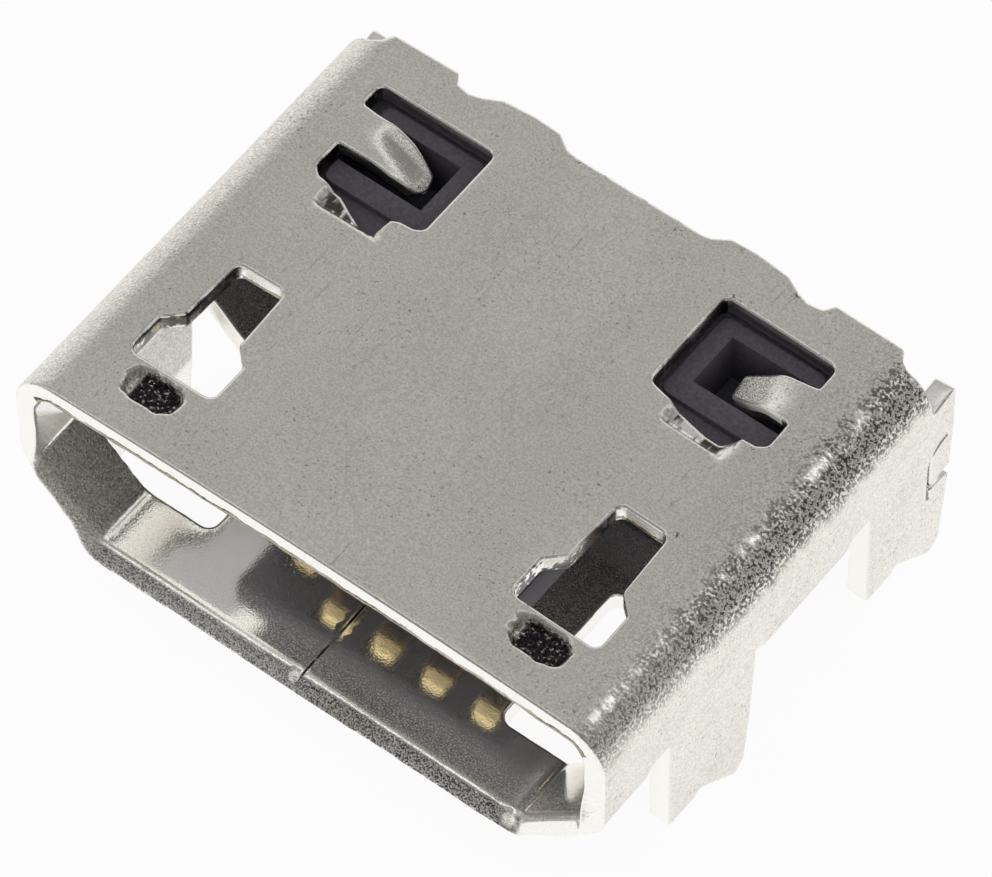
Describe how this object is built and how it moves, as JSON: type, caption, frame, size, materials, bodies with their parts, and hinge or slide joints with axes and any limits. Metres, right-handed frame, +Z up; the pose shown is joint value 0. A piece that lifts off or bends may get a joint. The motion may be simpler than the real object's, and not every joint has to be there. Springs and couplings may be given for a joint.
{
  "type": "surface-mount micro socket",
  "caption": "Bare micro socket for a circuit board: folded metal shell with legs, slots and tabbed windows, black insulator, gold contacts.",
  "frame": {"origin": "centre of the bounding box at the level of the leg tips", "axes": "+Z up from the board, mouth towards -Y, +X along the mouth"},
  "size_m": [0.0076, 0.0062, 0.0033],
  "materials": {
    "plating": "satin",
    "plastic": "matte",
    "gilding": "gloss"
  },
  "bodies": {
    "root": {"shell": "plating", "insulator": "plastic", "contact_1": "gilding", "contact_2": "gilding", "contact_3": "gilding", "contact_4": "gilding", "contact_5": "gilding"}
  },
  "joints": []
}
